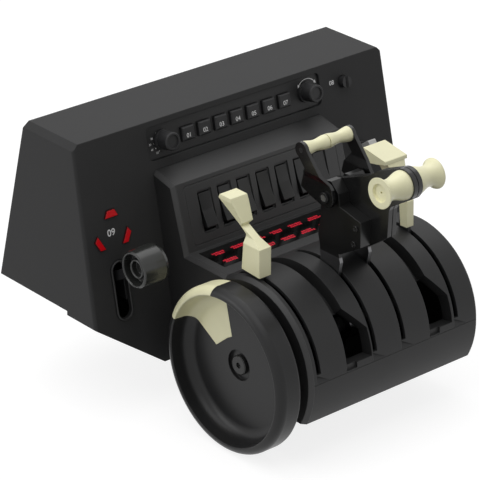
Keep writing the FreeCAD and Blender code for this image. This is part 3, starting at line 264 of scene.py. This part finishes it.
def print_mesh(bm):
    """Turns a flat bmesh into the mesh of a print, facing up."""
    bmesh.ops.recalc_face_normals(bm, faces=bm.faces)
    for face in bm.faces:
        if face.normal.z < 0:
            face.normal_flip()
    mesh = bpy.data.meshes.new("print")
    bm.to_mesh(mesh)
    bm.free()
    return mesh


def round_point(bm, radius, turn):
    """A vertex at a radius and an angle round the middle of a print."""
    return bm.verts.new((radius * math.cos(turn), radius * math.sin(turn), 0))


finish_node(drum_black, "strip_panel")
control_black = plastic("control_black", (0.018, 0.018, 0.019), 0.45, edge=0.0005)
finish_node(control_black, "selector_knob", "encoder_knob", "autopilot_button")

for number in range(1, 8):
    key = "key_%d" % number
    finish_node(control_black, key)
    axes = panel_axes(far_face(key, -front_inward), front_inward)
    axes = axes @ Matrix.Translation((0, -key_number_drop, 0))
    lay_flat(key + "_number", figures("0%d" % number, key_number_height), axes, key, print_white)

for index, turn in enumerate(scale_turns):
    across, up = math.cos(math.radians(turn)), math.sin(math.radians(turn))
    dot_place = strip_plane("selector_turn", scale_up * up - scale_drop, scale_across * across)
    bm = bmesh.new()
    bmesh.ops.create_circle(bm, cap_ends=True, segments=dot_corners, radius=dot_radius)
    lay_flat("selector_dot_%d" % (index + 1), print_mesh(bm), dot_place, "housing", print_white)
    number_place = strip_plane("selector_turn", scale_number_up * up - scale_drop,
                               scale_number_across * across)
    lay_flat("selector_number_%d" % (index + 1), figures("%d0" % (index + 1), scale_number_height),
             number_place, "housing", print_white)

bm = bmesh.new()
arrow_end = [round_point(bm, arrow_radius + side * arrow_half_width, arrow_start) for side in (-1, 1)]
bmesh.ops.spin(bm, geom=[bm.edges.new(arrow_end)], axis=(0, 0, 1), cent=(0, 0, 0), angle=arrow_sweep,
               steps=arrow_steps, use_duplicate=False)
for base, way in ((arrow_start, -1), (arrow_start + arrow_sweep, 1)):
    head = ((arrow_radius - head_half_width, base), (arrow_radius + head_half_width, base),
            (arrow_radius, base + way * head_sweep))
    bm.faces.new([round_point(bm, radius, turn) for radius, turn in head])
lay_flat("encoder_arrow", print_mesh(bm), strip_plane("encoder_turn", arrow_up, arrow_right), "housing",
         print_white)
lay_flat("button_number", figures("08", button_number_height), front_plane(button_number_x, button_number_z),
         "housing", print_white)

# ---------------------------------------------------------------- pedestal, rockers and warning lamps
# A moulded pedestal carries a panel of seven rockers. Below it a glossy dark window lies over two rows of
# red lamp legends, each of them two lines of plain bars in place of words.
legend_colour, legend_light, legend_strength = (0.42, 0.008, 0.024), (0.75, 0.012, 0.03), 0.24
legend_shift, legend_rows = -0.0068, (0.0068, -0.0082)
fewest_bars, shortest_bar, bar_growth = 5, 0.0012, 0.0005
bar_height, bar_height_loss = 0.0025, 0.0004
bar_gap, line_pitch = 0.0004, 0.0027


def add_legend(bm, middle, row, place):
    """Two lines of short plain bars, which stand where a lamp's words would be and spell nothing."""
    for line in (0, 1):
        count = fewest_bars + (place + 2 * line) % 3
        widths = [shortest_bar + bar_growth * ((5 * step + 3 * place + line) % 3) for step in range(count)]
        x = middle - (sum(widths) + bar_gap * (count - 1)) / 2.0
        for step, width in enumerate(widths):
            height = bar_height - bar_height_loss * ((step + place) % 3)
            place_bar = Matrix.Translation((x + width / 2.0, row + (0.5 - line) * line_pitch, 0))
            bmesh.ops.create_grid(bm, x_segments=1, y_segments=1, size=0.5,
                                  matrix=place_bar @ Matrix.Diagonal((width, height, 1, 1)))
            x += width + bar_gap


pedestal_black = plastic("pedestal_black", (0.010, 0.010, 0.0103), 0.5, edge=0.0010, gloss=0.55)
finish_node(pedestal_black, "pedestal_side_left", "pedestal_side_right", "console_cover", "rocker_panel")
rocker_black = plastic("rocker_black", (0.010, 0.010, 0.0103), 0.3, edge=0.0006, gloss=0.4)
window_black = plastic("window_black", (0.004, 0.004, 0.004), 0.12, grain=0.0, gloss=0.3)
finish_node(window_black, "annunciator_lens")
legend_red = plastic("legend_red", legend_colour, 0.4, grain=0.0)
legend_shader = legend_red.node_tree.nodes["Principled BSDF"]
legend_shader.inputs["Emission Color"].default_value = (*legend_light, 1)
legend_shader.inputs["Emission Strength"].default_value = legend_strength

bm = bmesh.new()
for number in range(1, 8):
    finish_node(rocker_black, "rocker_%d" % number)
    rocker_low, rocker_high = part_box("rocker_%d" % number)
    column = (rocker_low.x + rocker_high.x) / 2.0 + legend_shift
    for which, row in enumerate(legend_rows):
        add_legend(bm, column, row, number + 7 * which)
lens_low, lens_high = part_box("annunciator_lens")
lens_axes = Matrix.Translation((0, (lens_low.y + lens_high.y) / 2.0, lens_high.z))
lay_flat("lamp_legends", print_mesh(bm), lens_axes, "housing", legend_red)

# ---------------------------------------------------------------- lever drum
# Two moulded shells with slots for the levers and two open channels; inside, the blacked steel shaft, its
# supports and its acetal spacers stay in the dark.
finish_node(drum_black, "drum_upper_shell", "drum_lower_shell")
blacked_steel = plastic("blacked_steel", (0.012, 0.012, 0.013), 0.4, grain=0.03)
finish_node(blacked_steel, "main_shaft", "shaft_supports", "side_lever_brackets")
acetal = plastic("acetal", (0.02, 0.02, 0.02), 0.5)
finish_node(acetal, "shaft_spacers")

# ---------------------------------------------------------------- levers
# Ivory ABS handles on black arms, a smoky knob on the gear lever and a pale grey side lever. The thrust
# levers' blades are bare sheet metal where they leave the drum, and glossy black above, like their cheeks.
# The reversers turn on a pin with a bright end, among blacked screws.
ivory_finish = {"colour": (0.90, 0.87, 0.575), "roughness": 0.30, "grain": 0.02, "gloss": 0.5}
grip_end_black, grip_end_depth = (0.01, 0.01, 0.01), 0.002
bare_metal, bare_top, worn_half_width = (0.17, 0.17, 0.175), 0.064, 0.0004
pin_metal, pin_radius, pin_edge = (0.62, 0.62, 0.62), 0.0026, 0.0002


def along(tree, axis):
    """How far a point of a piece lies along one of the object's axes."""
    place = tree.nodes.new("ShaderNodeTexCoord")
    split = tree.nodes.new("ShaderNodeSeparateXYZ")
    tree.links.new(place.outputs["Object"], split.inputs["Vector"])
    return split.outputs[axis]


def black_ends(material, reach):
    """Blackens a grip's two outer ends, where its screws come through the arms."""
    tree = material.node_tree
    out = tree.nodes.new("ShaderNodeMath")
    out.operation = "ABSOLUTE"
    tree.links.new(along(tree, "X"), out.inputs[0])
    beyond = tree.nodes.new("ShaderNodeMath")
    beyond.operation = "GREATER_THAN"
    beyond.inputs[1].default_value = reach
    tree.links.new(out.outputs["Value"], beyond.inputs[0])
    cover(material, beyond.outputs["Value"], grip_end_black)


def bare_blade(material):
    """Leaves the metal bare low on a blade, with a narrow worn line where the black finish ends."""
    tree = material.node_tree
    below = ramp(tree, along(tree, "Z"), bare_top + worn_half_width, bare_top - worn_half_width)
    cover(material, below, bare_metal)
    tree.links.new(below, tree.nodes["Principled BSDF"].inputs["Metallic"])


def bright_pin(material, pivot):
    """Leaves the end of the pivot pin bare round its axis, among blacked screws."""
    tree = material.node_tree
    place = tree.nodes.new("ShaderNodeTexCoord")
    flat = tree.nodes.new("ShaderNodeVectorMath")
    flat.operation = "MULTIPLY"
    flat.inputs[1].default_value = (0, 1, 1)
    tree.links.new(place.outputs["Object"], flat.inputs[0])
    away = tree.nodes.new("ShaderNodeVectorMath")
    away.operation = "DISTANCE"
    away.inputs[1].default_value = (0, pivot[1], pivot[2])
    tree.links.new(flat.outputs["Vector"], away.inputs[0])
    bare = ramp(tree, away.outputs["Value"], pin_radius + pin_edge, pin_radius - pin_edge)
    cover(material, bare, pin_metal)
    tree.links.new(bare, tree.nodes["Principled BSDF"].inputs["Metallic"])


ivory = plastic("ivory", **ivory_finish)
finish_node(ivory, "spoiler_lever", "flap_lever", "thrust_knob_left", "thrust_knob_right")
for side, end in (("left", 0), ("right", 1)):
    grip_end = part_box("reverser_grip_" + side)[end].x
    grip_ivory = plastic("grip_ivory_" + side, **ivory_finish)
    black_ends(grip_ivory, abs(grip_end) - grip_end_depth)
    finish_node(grip_ivory, "reverser_grip_" + side)
pale_grey = plastic("pale_grey", (0.55, 0.55, 0.53), 0.5, grain=0.04)
finish_node(pale_grey, "switch_lever")
smoke = plastic("smoke", (0.020, 0.021, 0.0195), 0.22, grain=0.0, edge=0.0008, gloss=0.5)
finish_node(smoke, "gear_knob")
finish_node(control_black, "gear_arm", "spoiler_arm", "flap_arm")
arm_black = plastic("arm_black", (0.006, 0.006, 0.006), 0.22, grain=0.01, edge=0.0006, gloss=0.5)
finish_node(arm_black, "thrust_cheek_left", "thrust_cheek_right", "reverser_arm_left", "reverser_arm_right")
blade = plastic("blade", (0.006, 0.006, 0.006), 0.3, grain=0.02, edge=0.0006, gloss=0.4)
bare_blade(blade)
finish_node(blade, "thrust_arm_left", "thrust_arm_right")
pin_finish = plastic("pin_finish", (0.010, 0.010, 0.010), 0.25, grain=0.0, gloss=0.5)
bright_pin(pin_finish, joints["reverser_left_lift"]["pos_m"])
finish_node(pin_finish, "thrust_screws_left", "thrust_screws_right")

# ---------------------------------------------------------------- trim wheel
# A deep-dished wheel in black plastic with a smooth, slightly glossy rim and an ivory marker let into it,
# on a black-finished end screw.
wheel_black = plastic("wheel_black", (0.018, 0.018, 0.0185), 0.33, grain=0.02, gloss=0.25)
finish_node(wheel_black, "trim_wheel")
finish_node(ivory, "trim_insert")
screw_black = plastic("screw_black", (0.02, 0.02, 0.02), 0.25, grain=0.0)
finish_node(screw_black, "trim_end_screw")

# ---------------------------------------------------------------- studio
# A white floor just under the lowest point, which keeps a faint shadow, in an evenly white room. Three soft
# boxes light the object from above, the right and the left, and the camera looks down at it from the front.
floor_gap, floor_half_size, floor_roughness = 0.001, 6.0, 0.9
floor_tone, floor_tone_seen, floor_glow_seen = 0.35, 0.3, 0.82
world_level, world_level_seen = 0.4, 1.0
aim = Vector((-0.0178, -0.0833, 0.0313))
soft_boxes = (("key_light", (-0.5, 0.0, 2.0), 2.4, 23.5),
              ("right_light", (0.9, 0.3, 1.6), 1.2, 4.5),
              ("left_light", (-2.0, 0.9, 0.9), 1.2, 10.5))
eye_azimuth, eye_elevation, eye_distance = math.radians(-40.57), math.radians(25.53), 2.23
lens_length, film_width = 202.0, 36.0


def seen_rays(tree):
    """1 for the rays that show the background: the camera's, reflected and transmitted ones."""
    path = tree.nodes.new("ShaderNodeLightPath")
    total = path.outputs["Is Camera Ray"]
    for name in ("Is Glossy Ray", "Is Transmission Ray"):
        add = tree.nodes.new("ShaderNodeMath")
        add.operation = "MAXIMUM"
        tree.links.new(total, add.inputs[0])
        tree.links.new(path.outputs[name], add.inputs[1])
        total = add.outputs["Value"]
    return total


def turn_to(thing, place, back):
    """Puts a lamp or the camera at a place, with its back along a direction."""
    thing.location = place
    thing.rotation_mode = "QUATERNION"
    thing.rotation_quaternion = back.to_track_quat("Z", "Y")


bm = bmesh.new()
bmesh.ops.create_grid(bm, x_segments=1, y_segments=1, size=floor_half_size)
bmesh.ops.translate(bm, vec=(0, 0, cad_low.z - floor_gap), verts=bm.verts)
floor_mesh = bpy.data.meshes.new("floor")
bm.to_mesh(floor_mesh)
bm.free()
floor = put_in_scene("floor", floor_mesh)

paper = bpy.data.materials.new("paper")
paper.use_nodes = True
tree = paper.node_tree
sheet = tree.nodes["Principled BSDF"]
sheet.inputs["Roughness"].default_value = floor_roughness
sheet.inputs["Specular IOR Level"].default_value = 0.0
sheet.inputs["Emission Color"].default_value = (1, 1, 1, 1)
seen = seen_rays(tree)
tree.links.new(ramp(tree, seen, 0.0, 1.0, floor_tone, floor_tone_seen), sheet.inputs["Base Color"])
tree.links.new(ramp(tree, seen, 0.0, 1.0, 0.0, floor_glow_seen), sheet.inputs["Emission Strength"])
floor.data.materials.append(paper)

world = bpy.data.worlds.new("studio")
bpy.context.scene.world = world
world.use_nodes = True
tree = world.node_tree
room = tree.nodes["Background"]
room.inputs["Color"].default_value = (1, 1, 1, 1)
level = ramp(tree, seen_rays(tree), 0.0, 1.0, world_level, world_level_seen)
tree.links.new(level, room.inputs["Strength"])

for name, place, size, power in soft_boxes:
    light = bpy.data.lights.new(name, "AREA")
    light.shape = "SQUARE"
    light.size = size
    light.energy = power
    turn_to(put_in_scene(name, light), place, Vector(place) - aim)

back = Vector((math.sin(eye_azimuth) * math.cos(eye_elevation),
               -math.cos(eye_azimuth) * math.cos(eye_elevation),
               math.sin(eye_elevation)))
camera_data = bpy.data.cameras.new("camera")
camera_data.lens = lens_length
camera_data.sensor_width = film_width
camera = put_in_scene("camera", camera_data)
turn_to(camera, aim + back * eye_distance, back)
bpy.context.scene.camera = camera
bpy.context.scene.view_settings.view_transform = "Standard"
